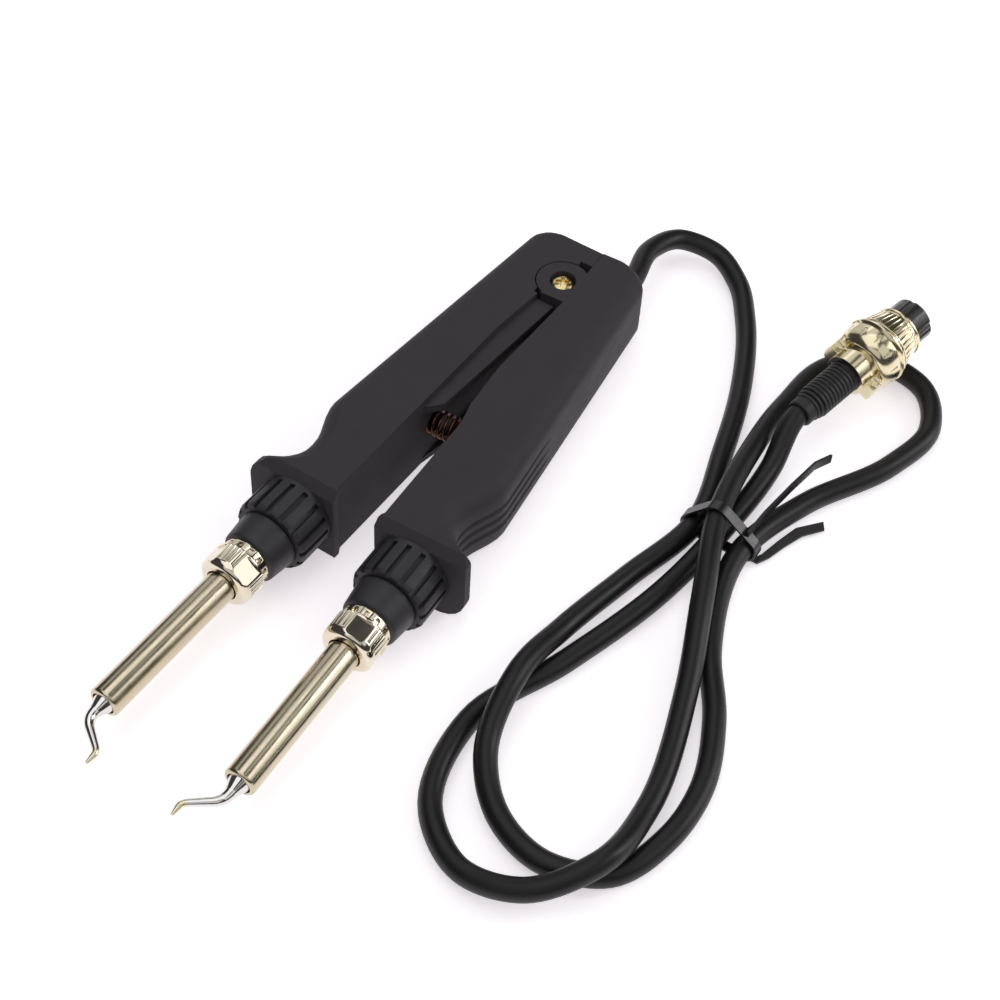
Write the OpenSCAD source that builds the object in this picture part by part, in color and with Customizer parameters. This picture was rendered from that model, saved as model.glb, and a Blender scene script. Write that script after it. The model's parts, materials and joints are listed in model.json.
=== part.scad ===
// Soldering tweezers: two hollow grip arms on one pivot, each carrying a heated barrel with a bent
// tip, held apart by a coil spring, with a corded plug. Millimetres, +Z up, the table at Z = 0.
// +Y runs from the tips to the cord. The arms lie open, as they rest on a bench.

/* [Arms] */
// Thickness of an arm, from the table to its top face
arm_h = 21.6; // [20:0.2:25]
// Length of an arm behind the pivot
arm_rear = 14.4; // [13.6:0.2:18]
// Length of an arm from the pivot to the face of its front flange
arm_front = 92.4; // [90:0.2:105]
// Distance of an arm's flat inner wall from the line through the pivot
inner_x = 3.9; // [3.6:0.1:4.2]
// Outer reach of an arm at its rear end
rear_x = 17.2; // [16.6:0.2:19]
// Outer reach of the grip where it is widest
grip_x = 22.9; // [21.6:0.1:25]
// Outer reach of the finger waist
waist_x = 18.9; // [18.6:0.1:20]
// Outer reach of the front flange
flange_x = 27.4; // [25:0.2:29]
// Distance from the pivot to the widest place of the grip
grip_y = 66; // [62:0.5:69]
// Distance from the pivot to the narrowest place of the waist
waist_y = 80; // [77:0.5:82]
// Radius of the rounded outer edges
edge_r = 5; // [3:0.25:6]
// Plan radius of the outer rear corner
corner_r = 4; // [2:0.25:5]
// Wall thickness of the shells
wall = 2.2; // [1.6:0.1:2.4]
// Depth of the chamfer above the flange face
flange_chamfer = 1.9; // [1:0.1:2.2]
// Depth of the grip grooves
groove_d = 0.7; // [0.3:0.05:0.9]
// Width of a grip groove
groove_w = 1.6; // [1:0.1:2]

/* [Hinge] */
// Half of the angle between the arms as they rest open
open_half = 1.7; // [1.4:0.1:2]
// Angle through which the arms close
close_angle = 7; // [6:0.1:7.4]
// Radius of a hinge knuckle
knuckle_r = 6.8; // [6.2:0.1:7.2]
// Outside diameter of the pivot sleeve
sleeve_d = 4.4; // [4.2:0.1:4.8]
// Diameter of the pivot screw's head
pivot_head_d = 6.2; // [5.6:0.1:6.6]
// Diameter of the flange under the pivot sleeve
sleeve_flange_d = 8; // [7:0.2:9]
// Thickness of the washer between the knuckles
washer_t = 0.4; // [0.3:0.1:0.8]
// Depth of the ledge below the face of the arm
ledge_drop = 2; // [1.2:0.1:3]
// Thickness of the ledge
ledge_t = 2.2; // [1.6:0.1:3]
// Reach of the thin lip that overhangs the gap between the pivot and the spring
lip_step = 1.8; // [0.6:0.1:2]

/* [Return spring] */
// Distance from the pivot to the spring's axis
spring_y = 50.5; // [46:0.5:53]
// Outside diameter of the spring
spring_d = 7; // [6:0.2:8]
// Diameter of the spring's wire
spring_wire = 0.8; // [0.6:0.05:0.9]
// Number of turns of the spring
spring_turns = 12; // [9:1:13]
// Depth of the spring pockets
pocket_depth = 5; // [4:0.25:6]

/* [Heated end] */
// Distance of a barrel's axis from the line through the pivot
barrel_x = 13.4; // [13.2:0.1:14]
// Outside diameter of the fluted collar
collar_d = 19.4; // [17:0.2:19.6]
// Length of the fluted collar
collar_len = 10.8; // [8:0.2:14]
// Number of ribs round the collar
collar_ribs = 16; // [12:1:20]
// Diameter of the tapered sleeve at the collar
nipple_d = 15.6; // [14:0.2:16.4]
// Diameter of the tapered sleeve at the nut
nipple_front_d = 14.2; // [13:0.2:15]
// Length of the tapered sleeve
nipple_len = 8; // [5:0.2:10]
// Diameter of the thread that carries the nut
thread_d = 9.6; // [9.2:0.1:10]
// Diameter of the bore through the tapered sleeve
nipple_bore = 6.2; // [5.8:0.1:6.6]
// Diameter of the lock ring
lock_ring_d = 12.4; // [11.6:0.2:13.4]
// Thickness of the lock ring
lock_ring_t = 2; // [1:0.1:2.5]
// Diameter of the barrel nut
nut_d = 13.6; // [12.8:0.2:14.4]
// Length of the barrel nut
nut_len = 7.2; // [6.4:0.1:9]
// Turn at which the right nut has been left, in degrees
right_nut_set = -16; // [-45:1:45]
// Turn at which the left nut has been left, in degrees
left_nut_set = 45; // [-45:1:45]
// Outside diameter of a barrel
barrel_d = 7.8; // [7.4:0.1:8.2]
// Length of barrel in front of the nut
barrel_show = 40; // [30:0.5:50]
// Wall thickness of a barrel
barrel_wall = 0.6; // [0.4:0.05:0.7]
// Diameter of the heater rod
heater_d = 4.4; // [4:0.1:4.6]

/* [Tips] */
// Diameter of a tip where it leaves the barrel
tip_base_d = 5.6; // [5:0.1:5.8]
// Diameter of the bent neck of a tip
tip_neck_d = 2.2; // [1.6:0.1:2.6]
// Diameter of the foot of a tip
tip_foot_d = 1.2; // [0.9:0.05:1.6]
// Length from the barrel's end to the first bend
tip_cone = 5; // [4:0.1:7]
// Length along the arm from the first to the second bend
tip_slant = 5; // [4:0.1:7]
// Length of the foot
tip_foot = 3.4; // [2.5:0.1:5]
// Gap between the feet when the arms are closed
tip_gap = 0.3; // [0.2:0.05:1]

/* [Cord and plug] */
// Diameter of the cord
cord_d = 5.5; // [5.2:0.1:5.6]
// Distance of the cord's exit from the line through the pivot
exit_x = 10.3; // [10.2:0.1:10.5]
// Outside diameter of the grommet in the rear wall
grommet_d = 8.2; // [7.8:0.1:8.6]
// Diameter of the coupling ring at its rear bead
ring_d = 18.2; // [17.8:0.1:19]
// Diameter of the coupling ring at its front edge
ring_front_d = 13.4; // [13.2:0.1:14.4]
// Length of the coupling ring
ring_len = 10; // [8:0.2:11]
// Diameter of the plug's insert
insert_d = 11.6; // [11:0.1:12]
// Reach of the insert in front of the coupling ring
insert_show = 6.5; // [5:0.1:9]
// Diameter of the boot at the plug
boot_d = 8.8; // [8.2:0.1:9.2]
// Length of the boot behind the cable clamp
boot_len = 17.5; // [14:0.5:19]
// Number of contacts in the plug
contacts = 5; // [3:1:6]

/* [Hidden] */
$fn = 64;
eps = 0.01;

// Clearances: a running fit, a loose gap inside one body, and a gap between bodies that move
fit_gap = 0.05;
seat_gap = 0.1;
move_gap = 0.3;

// Heights and angles shared by both arms
mid = arm_h / 2;
closed_half = close_angle / 2 - open_half;
front_wall = 3.2;
lip_len = 2.4;
flare_power = 2.6;
socket_r = knuckle_r + move_gap;
hinge_gap = washer_t / 2 + fit_gap;

// Stations along the heated end, as distances from the pivot
collar_y = arm_front;
sleeve_y = collar_y + collar_len;
lock_y = sleeve_y + nipple_len;
nut_y = lock_y + lock_ring_t + 2 * seat_gap;
nut_end = nut_y + nut_len;
barrel_end = nut_end + barrel_show;
nut_lip = 1.6;
flange_t = 1.8;
barrel_seat = nut_end - nut_lip - flange_t - move_gap;
bend_y = barrel_end + tip_cone;
foot_y = bend_y + tip_slant;
tip_end = foot_y + tip_foot;

// The foot's place follows from where the feet meet when the arms are closed
foot_x = tip_end * sin(closed_half) + (tip_gap + tip_foot_d) / 2;

// The origin is under the middle of the object's length
rear_reach = arm_rear * cos(open_half) + (rear_x - corner_r) * sin(open_half);
front_reach = tip_end * cos(open_half) - foot_x * sin(open_half);
pivot_y = (front_reach - rear_reach) / 2;

// Places an arm's pieces: they are drawn as the right arm, with X outwards and the pivot at X = Y = 0.
// The left arm is the same arm rolled over about Y, so that the two knuckles lie one on the other.
module right_arm() {
    translate([0, pivot_y, 0]) rotate(open_half) children();
}
module left_arm() {
    translate([0, pivot_y, arm_h]) rotate(-open_half) rotate([0, 180, 0]) children();
}

// Turns a revolved piece so that its height runs along the barrel, from the pivot to the tip
module on_barrel() {
    translate([barrel_x, 0, mid]) rotate([90, 0, 0]) children();
}

// A point of the other arm in this arm's own axes, with the arms turned apart by a given angle
function across(p, angle) = [
    p.y * sin(angle) - p.x * cos(angle),
    p.x * sin(angle) + p.y * cos(angle)
];

// Outer reach of an arm between its rear corner and the flange
function taper(y) = rear_x + (grip_x - rear_x) * (arm_rear - y) / (arm_rear + grip_y);

// Stations of the outer trim: [y, outer reach, share of the flange's own rounding, groove depth]. The
// first and the last lie past the ends of the arm, so that its flat end faces cut the trim.
groove_start = 42;
groove_min = 0.05;
groove_full = 56;
waist_steps = 6;
flare_steps = 6;
flare_y = arm_front - lip_len;
corner_a = 9;
corner_x = taper(arm_rear - corner_r) - corner_r;
end_over = 1.5;
stations = concat(
    [[arm_rear + end_over, corner_x - end_over / tan(corner_a), 0, groove_min]],
    [for (a = [corner_a:18:90])
        [arm_rear - corner_r * (1 - cos(a)), corner_x + corner_r * sin(a), 0, groove_min]],
    [[-groove_start, taper(-groove_start), 0, groove_min],
     [-groove_full, taper(-groove_full), 0, groove_d],
     [-grip_y, grip_x, 0, groove_d]],
    [for (i = [1:waist_steps])
        let (s = i / waist_steps)
        [-grip_y - s * (waist_y - grip_y),
         grip_x + (waist_x - grip_x) * (1 - cos(180 * s)) / 2, 0, groove_d]],
    [for (i = [1:flare_steps])
        let (s = i / flare_steps)
        [-waist_y - s * (flare_y - waist_y),
         waist_x + (flange_x - waist_x) * pow(s, flare_power), s * s,
         groove_min + (groove_d - groove_min) * (1 - pow(s, 4))]],
    [[-arm_front - end_over, flange_x, 1, groove_min]]
);

// Profile of the trim: a rounded outer edge above a grooved side, and plain sides clear of the arm. At
// the flange the edge turns sharper on the half with the knuckle and rounder on the other half, and the
// grooves, which run out there, draw together below the rounding.
side_groove_z = 3.2;
ear_groove_z = groove_w + 0.3;
sharp_ear = [2.5, 2.5];
round_ear = [7.5, mid - ear_groove_z - groove_w / 2 - 0.4];
trim_in = -40;
trim_over = 5;
round_a = 81;
round_tail = 12;
function groove(x, z, depth) =
    let (w = groove_w / 2)
    [[x, z + w], [x - depth, z + w / 3], [x - depth, z - w / 3], [x, z - w]];
function trim_profile(s, ear) =
    let (xo = s[1], lean = (90 - round_a) * 2 / 3, r = edge_r * [1, 1] * (1 - s[2]) + ear * s[2],
         side_z = side_groove_z * (1 - s[2]) + ear_groove_z * s[2],
         arc = [for (a = [round_a:-18:0]) [xo - r.x * (1 - cos(a)), arm_h - r.y * (1 - sin(a))]])
    concat(
        [[trim_in, mid - trim_over], [trim_in, arm_h + trim_over],
         arc[0] + round_tail * [-cos(lean), sin(lean)]],
        arc, groove(xo, mid + side_z, s[3]), groove(xo, mid, s[3]),
        [[xo, mid - trim_over]]
    );

// Joins rings of equal size into one closed skin
function skin_faces(rings, n) = concat(
    [[for (j = [n:-1:1]) j % n]],
    [for (i = [0:rings - 2]) for (j = [0:n - 1])
        [i * n + j, i * n + (j + 1) % n, (i + 1) * n + (j + 1) % n, (i + 1) * n + j]],
    [[for (j = [0:n - 1]) (rings - 1) * n + j]]
);

// Loft that trims the upper half of an arm to its rounded, waisted and grooved outer side
module outer_trim(ear) {
    rings = [for (s = stations) [for (p = trim_profile(s, ear)) [p.x, s[0], p.y]]];
    polyhedron([for (r = rings) each r], skin_faces(len(rings), len(rings[0])), convexity = 6);
}

// Plan of the hollow inside an arm
module hollow_plan() {
    hollow_front = -(arm_front - front_wall);
    inside = [for (s = stations) if (s[0] < arm_rear - corner_r && s[0] > hollow_front) s];
    last = inside[len(inside) - 1];
    polygon(concat(
        [[inner_x + wall, hollow_front], [inner_x + wall, arm_rear - wall],
         [exit_x + grommet_d / 2 + seat_gap, arm_rear - wall],
         [taper(arm_rear - corner_r) - wall, arm_rear - corner_r]],
        [for (s = inside) [s[1] - wall, s[0]]],
        [[last[1] - wall, hollow_front]]
    ));
}

// Shell screws: two in each arm, entered from underneath
screw_places = [[9, -21], [9, -64]];
screw_d = 2.5;
screw_head_d = 4.6;
screw_head_h = 1.6;
screw_sink = 2.4;
screw_grip = 8;
boss_r = screw_head_d / 2 + 1;

// What both halves of a shell have inside, drawn for the half above the parting plane
module inner_walls() {
    for (p = screw_places)
        translate([p.x, p.y, mid]) cylinder(r = boss_r, h = mid - wall + eps);
    intersection() {
        translate([inner_x + eps, -spring_y, mid]) rotate([0, 90, 0])
            cylinder(d = spring_d + 2 * move_gap + 2 * wall, h = pocket_depth + wall / 2);
        translate([0, -arm_front, mid]) cube([arm_front, arm_front, mid - wall]);
    }
    translate([inner_x + eps, -arm_front + front_wall + flange_t + seat_gap, mid])
        cube([waist_x - inner_x - wall, wall / 2, mid - wall + eps]);
}

// What is cut from both halves of a shell, drawn for the half above the parting plane
port_len = 9;
port_h = 5;
module inner_cuts(screwed, corded) {
    translate([inner_x - wall, -spring_y, mid]) rotate([0, 90, 0])
        cylinder(d = spring_d + 2 * move_gap, h = wall + pocket_depth);
    on_barrel() {
        translate([0, 0, arm_front - front_wall - 1])
            cylinder(d = nipple_neck_d + 2 * seat_gap, h = front_wall + 2);
        translate([0, 0, arm_front - front_wall - flange_t - nipple_tail])
            cylinder(d = nipple_tail_d + 2 * seat_gap, h = nipple_tail);
    }
    translate([inner_x - wall, -knuckle_r - port_len, mid - port_h / 2])
        cube([2 * wall + 1, port_len - wall, port_h]);
    for (p = screw_places)
        translate([p.x, p.y, 0]) {
            translate([0, 0, mid - 1])
                cylinder(d = screw_d + 2 * seat_gap, h = screwed ? arm_h : screw_grip + 1);
            if (screwed)
                translate([0, 0, arm_h - screw_sink])
                    cylinder(d = screw_head_d + 2 * seat_gap, h = screw_sink + 1);
        }
    if (corded)
        translate([exit_x, arm_rear - wall - 1, mid]) rotate([-90, 0, 0])
            cylinder(d = grommet_d - 2 * grommet_lip, h = wall + 2);
}

// Hollow block of half an arm above the parting plane, with a chamfer above the flange of an upper half
// and a lip at the flange's inner corner
inner_lip = 0.9;
module half_block(upper) {
    reach = flange_x + 1;
    front = -arm_front;
    difference() {
        union() {
            translate([inner_x, front, mid]) cube([reach - inner_x, arm_front + arm_rear, mid]);
            translate([inner_x, front, mid]) linear_extrude(mid) polygon([
                [-inner_lip, 0], [eps, 0], [eps, lip_len + inner_lip], [-inner_lip, lip_len * 0.7]
            ]);
        }
        translate([0, 0, mid - 1]) linear_extrude(mid - wall + 1) hollow_plan();
        if (upper)
            translate([0, front, arm_h]) rotate([90, 0, 90]) linear_extrude(reach + 1) polygon([
                [-lip_len, flange_chamfer], [-lip_len, -2 * flange_chamfer], [2 * lip_len, flange_chamfer]
            ]);
    }
    inner_walls();
}

// Half that carries a hinge knuckle: the top of the right arm and the underside of the left
pivot_head_h = 2.2;
pivot_sink = 2.4;
module knuckle_shell(screwed, corded) {
    lip_t = ledge_drop - move_gap;
    knuckle_x = 2.6;
    intersection() {
        outer_trim(sharp_ear);
        difference() {
            union() {
                half_block(upper = !screwed);
                translate([0, 0, mid + hinge_gap]) {
                    cylinder(r = knuckle_r, h = mid - hinge_gap);
                    translate([-knuckle_x, -knuckle_r, 0])
                        cube([knuckle_x + inner_x + eps, knuckle_r, mid - hinge_gap]);
                }
                translate([0, 0, arm_h - lip_t]) linear_extrude(lip_t) polygon([
                    [inner_x + eps, -knuckle_r], [inner_x - lip_step, -0.7 * spring_y],
                    [inner_x - 0.7 * lip_step, -spring_y + 1], [inner_x + eps, -spring_y - 5.5]
                ]);
            }
            inner_cuts(screwed, corded);
            cylinder(d = sleeve_d + 2 * fit_gap, h = arm_h + 1);
            translate([0, 0, mid - 1]) cylinder(r = knuckle_r + seat_gap, h = 1 + hinge_gap);
            if (!screwed)
                translate([0, 0, arm_h - pivot_sink])
                    cylinder(d = pivot_head_d + 2 * move_gap, h = pivot_sink + 1);
            else
                translate([0, 0, arm_h - sleeve_sink])
                    cylinder(d = sleeve_flange_d + 2 * move_gap, h = sleeve_sink + 1);
        }
    }
}

// Half that lies round the other arm's knuckle, with the ledge that covers the gap between the arms
sleeve_flange_t = 1.6;
sleeve_sink = 2.2;
notch_d = 1.6;
ledge_slack = 0.9;
top_lip = 1.2;
top_lip_len = 16;
module socket_shell(screwed, corded) {
    edge_shift = [move_gap, 0];
    ledge_front = spring_y + 1;
    far = across([inner_x - ledge_slack, -knuckle_r], -2 * closed_half) + edge_shift;
    near = across([inner_x - ledge_slack, -ledge_front], -2 * closed_half) + edge_shift;
    ext_rear = across([inner_x, arm_rear], 2 * open_half) + edge_shift / 2;
    ext_front = across([inner_x, socket_r], 2 * open_half) + edge_shift / 2;
    ledge_rear = -knuckle_r - 3 * move_gap;
    intersection() {
        outer_trim(round_ear);
        difference() {
            union() {
                half_block(upper = !screwed);
                intersection() {
                    translate([0, 0, mid]) cylinder(r = socket_r + wall, h = mid);
                    translate([inner_x, -arm_front, 0]) cube([arm_front, 2 * arm_front, arm_h]);
                }
                translate([0, 0, mid + move_gap / 2]) linear_extrude(mid - move_gap / 2) polygon([
                    [inner_x + 1, arm_rear], [ext_rear.x, arm_rear],
                    [ext_front.x, socket_r + notch_d], [0, socket_r + notch_d],
                    [0, 0], [inner_x + 1, 0]
                ]);
                translate([0, 0, arm_h - ledge_drop - ledge_t]) linear_extrude(ledge_t) polygon([
                    [inner_x + 1, ledge_rear], [far.x, ledge_rear], [near.x, -ledge_front],
                    [(near.x + inner_x) / 2 + 0.7, -ledge_front - 2.8], [inner_x + 1, -ledge_front - 4.5]
                ]);
                translate([0, 0, arm_h - ledge_drop - ledge_t / 2])
                    linear_extrude(ledge_drop + ledge_t / 2) polygon([
                        [inner_x + 1, ledge_rear], [inner_x - top_lip, ledge_rear],
                        [inner_x, ledge_rear - top_lip_len], [inner_x + 1, ledge_rear - top_lip_len]
                    ]);
            }
            inner_cuts(screwed, corded);
            translate([0, 0, mid - 1]) cylinder(r = socket_r, h = arm_h);
        }
    }
}

// Turns a half shell over to the other side of the parting plane
module other_half() {
    translate([0, 0, arm_h]) mirror([0, 0, 1]) children();
}

shell_black = [0.16, 0.155, 0.165];
nickel = [0.78, 0.73, 0.62];
steel = [0.66, 0.63, 0.57];

module right_upper_shell() {
    color(shell_black) right_arm() knuckle_shell(screwed = false, corded = true);
}
module right_lower_shell() {
    color(shell_black) right_arm() other_half() socket_shell(screwed = true, corded = true);
}
module left_lower_shell() {
    color(shell_black) left_arm() knuckle_shell(screwed = true, corded = false);
}
module left_upper_shell() {
    color(shell_black) left_arm() other_half() socket_shell(screwed = false, corded = false);
}

// Pan-head screws that hold an arm's two shells together, drawn with their heads down
module shell_screws() {
    for (p = screw_places)
        translate([p.x, p.y, screw_sink - screw_head_h]) {
            difference() {
                cylinder(d1 = screw_head_d * 0.8, d2 = screw_head_d, h = screw_head_h);
                for (a = [0, 90])
                    rotate(a) translate([-screw_head_d / 3, -0.35, -eps])
                        cube([screw_head_d * 2 / 3, 0.7, screw_head_h / 2]);
            }
            cylinder(d = screw_d, h = mid - screw_sink + screw_head_h + screw_grip - 1);
        }
}
module right_shell_screws() {
    color(nickel) right_arm() shell_screws();
}
module left_shell_screws() {
    color(nickel) left_arm() other_half() shell_screws();
}

// Black plastic nipple: a flange held inside the shells, a tapered sleeve and a threaded spigot
nipple_neck_d = 10;
nipple_tail_d = 8.4;
nipple_tail = 5;
nipple_flange_d = 13.2;
nipple_core_d = 12;
module nipple() {
    flange_y = arm_front - front_wall;
    round_r = 1;
    color([0.13, 0.13, 0.14]) on_barrel() rotate_extrude() polygon(concat(
        [[nipple_bore / 2, flange_y - flange_t - nipple_tail],
         [nipple_tail_d / 2, flange_y - flange_t - nipple_tail],
         [nipple_tail_d / 2, flange_y - flange_t], [nipple_flange_d / 2, flange_y - flange_t],
         [nipple_flange_d / 2, flange_y], [nipple_neck_d / 2, flange_y],
         [nipple_neck_d / 2, arm_front], [nipple_core_d / 2, arm_front],
         [nipple_core_d / 2, sleeve_y], [nipple_d / 2 - round_r / 2, sleeve_y],
         [nipple_d / 2, sleeve_y + round_r / 2]],
        [for (a = [0:15:90])
            [nipple_front_d / 2 - round_r * (1 - cos(a)), lock_y - round_r * (1 - sin(a))]],
        [[thread_d / 2, lock_y], [thread_d / 2, barrel_seat], [nipple_bore / 2, barrel_seat]]
    ));
}

// Fluted grip collar between the flange and the sleeve
module collar() {
    rib_d = 1.1;
    rib_w = 1.3;
    color([0.12, 0.12, 0.13]) on_barrel() difference() {
        rotate_extrude() polygon([
            [nipple_core_d / 2 + seat_gap, collar_y], [collar_d / 2, collar_y],
            [collar_d / 2, sleeve_y - rib_d], [collar_d / 2 - rib_d / 2, sleeve_y],
            [nipple_core_d / 2 + seat_gap, sleeve_y]
        ]);
        for (i = [0:collar_ribs - 1])
            rotate(360 * i / collar_ribs)
                translate([collar_d / 2 - rib_d, -rib_w / 2, collar_y + rib_d])
                    cube([collar_d, rib_w, collar_len]);
    }
}

// Castellated lock ring against the sleeve
module lock_ring() {
    notches = 13;
    notch_w = 1.1;
    notch_depth = 0.8;
    color(nickel) on_barrel() difference() {
        translate([0, 0, lock_y]) cylinder(d = lock_ring_d, h = lock_ring_t);
        translate([0, 0, lock_y - 1]) cylinder(d = thread_d + 2 * seat_gap, h = lock_ring_t + 2);
        for (i = [0:notches - 1])
            rotate(360 * i / notches)
                translate([lock_ring_d / 2 - notch_depth, -notch_w / 2, lock_y + lock_ring_t / 3])
                    cube([lock_ring_d, notch_w, lock_ring_t]);
    }
}

// Barrel nut: flats and groups of fine flutes by turns, with a rounded front edge
nut_flats = 4;
module nut(set) {
    dome = 2;
    flat_depth = 0.45;
    flute_r = 0.36;
    flutes = 4;
    flute_step = 10.5;
    flute_stop = 0.3;
    color(nickel) on_barrel() rotate(set) difference() {
        rotate_extrude() polygon(concat(
            [[thread_d / 2 + fit_gap, nut_y], [nut_d / 2 - 0.4, nut_y], [nut_d / 2, nut_y + 0.4]],
            [for (a = [0:15:75]) [nut_d / 2 - dome * (1 - cos(a)), nut_end - dome * (1 - sin(a))]],
            [[barrel_d / 2 + move_gap, nut_end], [barrel_d / 2 + move_gap, nut_end - nut_lip],
             [thread_d / 2 + fit_gap, nut_end - nut_lip]]
        ));
        for (i = [0:nut_flats - 1]) {
            rotate(360 * i / nut_flats)
                translate([nut_d / 2 - flat_depth, -nut_d / 2, nut_y + 1])
                    cube([nut_d, nut_d, nut_len - 1 - dome / 2]);
            for (j = [0:flutes - 1])
                rotate(360 * (i + 0.5) / nut_flats + (j - (flutes - 1) / 2) * flute_step)
                    translate([nut_d / 2, 0, nut_y - 1])
                        cylinder(r = flute_r, h = nut_len - dome - flute_stop + 1);
        }
    }
}

// Steel barrel with the flange that the nut holds and a turned-in front end, whose rounding leaves a
// narrow flat rim round the tip
lip_flat = 0.2;
lip_r = (barrel_d - tip_base_d) / 2 - seat_gap - lip_flat;
module barrel() {
    inner_r = barrel_d / 2 - barrel_wall;
    flange_r = thread_d / 2 + fit_gap - move_gap;
    color(steel) on_barrel() rotate_extrude() polygon(concat(
        [[inner_r, barrel_seat], [flange_r, barrel_seat],
         [flange_r, barrel_seat + flange_t], [barrel_d / 2, barrel_seat + flange_t]],
        [for (a = [0:15:90])
            [barrel_d / 2 - lip_r * (1 - cos(a)), barrel_end - lip_r * (1 - sin(a))]],
        [[tip_base_d / 2 + seat_gap, barrel_end], [tip_base_d / 2 + seat_gap, barrel_end - lip_r],
         [inner_r, barrel_end - lip_r]]
    ));
}

// Ceramic heater rod inside the barrel and the tip's sleeve
tip_sleeve = 24;
heater_rear = 6;
module heater() {
    heater_y = barrel_seat - heater_rear;
    color([0.9, 0.88, 0.82]) on_barrel()
        translate([0, 0, heater_y]) cylinder(d = heater_d, h = barrel_end - 4 - heater_y);
}

// A curve through a bend, used for the nose of a tip: a quadratic between two straight runs
function bend(a, b, c, t) = (1 - t) * (1 - t) * a + 2 * t * (1 - t) * b + t * t * c;
function unit(v) = v / norm(v);

// Ring of points round a place on a route, kept upright
function ring_points(p, dir, r, n) =
    let (side = unit(cross(dir, [0, 0, 1])), up = cross(side, dir))
    [for (j = [0:n - 1])
        let (a = 360 * (j + 0.5) / n)
        p + r * (cos(a) * side + sin(a) * up)];

// Direction of a list of places at one of them
function heading(path, i) =
    unit(path[min(i + 1, len(path) - 1)] - path[max(i - 1, 0)]);

// Tube along a list of places, with a radius at each
module swept(path, radii, n) {
    points = [for (i = [0:len(path) - 1]) each ring_points(path[i], heading(path, i), radii[i], n)];
    polyhedron(points, skin_faces(len(path), n), convexity = 10);
}

// Plated iron tip: a bored sleeve inside the barrel, and a nose that bends in towards the other tip
module tip() {
    shoulder = barrel_end - lip_r - seat_gap;
    sleeve_r = barrel_d / 2 - barrel_wall - seat_gap;
    steps = 5;
    first_run = 2.4;
    second_run = 1;
    root_y = barrel_end - lip_r / 2;
    base = [barrel_x, -root_y, mid];
    first = [barrel_x, -bend_y, mid];
    second = [foot_x, -foot_y, mid];
    slant = unit(second - first);
    end = [foot_x, -tip_end, mid];
    before = first + [0, first_run, 0];
    after = second - [0, second_run, 0];
    path = concat(
        [base],
        [for (i = [0:steps]) bend(before, first, first + first_run * slant, i / steps)],
        [for (i = [0:steps]) bend(second - second_run * slant, second, after, i / steps)],
        [end]
    );
    last = len(path) - 1;
    radii = [for (i = [0:last])
        i == 0 ? tip_base_d / 2 - seat_gap
        : i <= steps + 1 ? tip_neck_d / 2 * (1 + 0.35 * (1 - (i - 1) / steps))
        : i < last ? (tip_neck_d + (tip_foot_d - tip_neck_d) * (i - steps + 2) / (steps + 4)) / 2
        : tip_foot_d / 2 * 0.8];
    color([0.86, 0.86, 0.84]) union() {
        on_barrel() rotate_extrude() polygon([
            [heater_d / 2 + seat_gap, shoulder - tip_sleeve], [sleeve_r, shoulder - tip_sleeve],
            [sleeve_r, shoulder], [tip_base_d / 2, shoulder], [tip_base_d / 2, barrel_end],
            [0, barrel_end], [0, barrel_end - 4 + seat_gap],
            [heater_d / 2 + seat_gap, barrel_end - 4 + seat_gap]
        ]);
        swept(path, radii, 12);
    }
}

// Three insulated leads in one arm, from a start place inside it, past the screw bosses, to the heater
lead_d = 1.2;
lead_r = 1.2;
lead_x = 14.6;
module leads(start) {
    end = [barrel_x, -(barrel_seat - heater_rear), mid];
    path = concat(
        [for (t = [0:0.25:1])
            bend(start, [lead_x, start.y - 8, mid], [lead_x, start.y - 18, mid], t)],
        [for (t = [0:0.25:1])
            bend([lead_x, -groove_full, mid], [lead_x, -waist_y, mid], end, t)]
    );
    color([0.72, 0.7, 0.66])
        for (a = [90, 210, 330])
            translate(lead_r * [cos(a), 0, sin(a)]) swept(path, [for (p = path) lead_d / 2], 8);
}

module right_nipple() { right_arm() nipple(); }
module right_collar() { right_arm() collar(); }
module right_lock_ring() { right_arm() lock_ring(); }
module right_nut() { right_arm() nut(right_nut_set); }
module right_barrel() { right_arm() barrel(); }
module right_heater() { right_arm() heater(); }
module right_tip() { right_arm() tip(); }
module right_leads() { right_arm() leads([exit_x, cord_in - lead_d / 2, mid]); }
module left_nipple() { left_arm() nipple(); }
module left_collar() { left_arm() collar(); }
module left_lock_ring() { left_arm() lock_ring(); }
module left_nut() { left_arm() nut(left_nut_set); }
module left_barrel() { left_arm() barrel(); }
module left_heater() { left_arm() heater(); }
module left_tip() { left_arm() tip(); }
module left_leads() { left_arm() leads([lead_x - 1, -socket_r - wall - 1, mid]); }

// Pivot screw with a cross recess, entered from the top
pivot_thread_d = 3;
module pivot_screw() {
    recess_w = 0.9;
    color([0.82, 0.75, 0.56]) translate([0, pivot_y, arm_h - pivot_sink]) {
        difference() {
            rotate_extrude() polygon(concat(
                [[0, 0], [pivot_head_d / 2, 0]],
                [for (a = [0:15:90])
                    [pivot_head_d / 2 * cos(a), pivot_head_h * (0.45 + 0.55 * sin(a))]]
            ));
            for (a = [25, 115])
                rotate(a) translate([-pivot_head_d * 0.3, -recess_w / 2, pivot_head_h * 0.45])
                    cube([pivot_head_d * 0.6, recess_w, pivot_head_h]);
        }
        translate([0, 0, sleeve_sink - arm_h + pivot_sink + 2])
            cylinder(d = pivot_thread_d, h = arm_h - pivot_sink - sleeve_sink - 2 + eps);
    }
}

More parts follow.
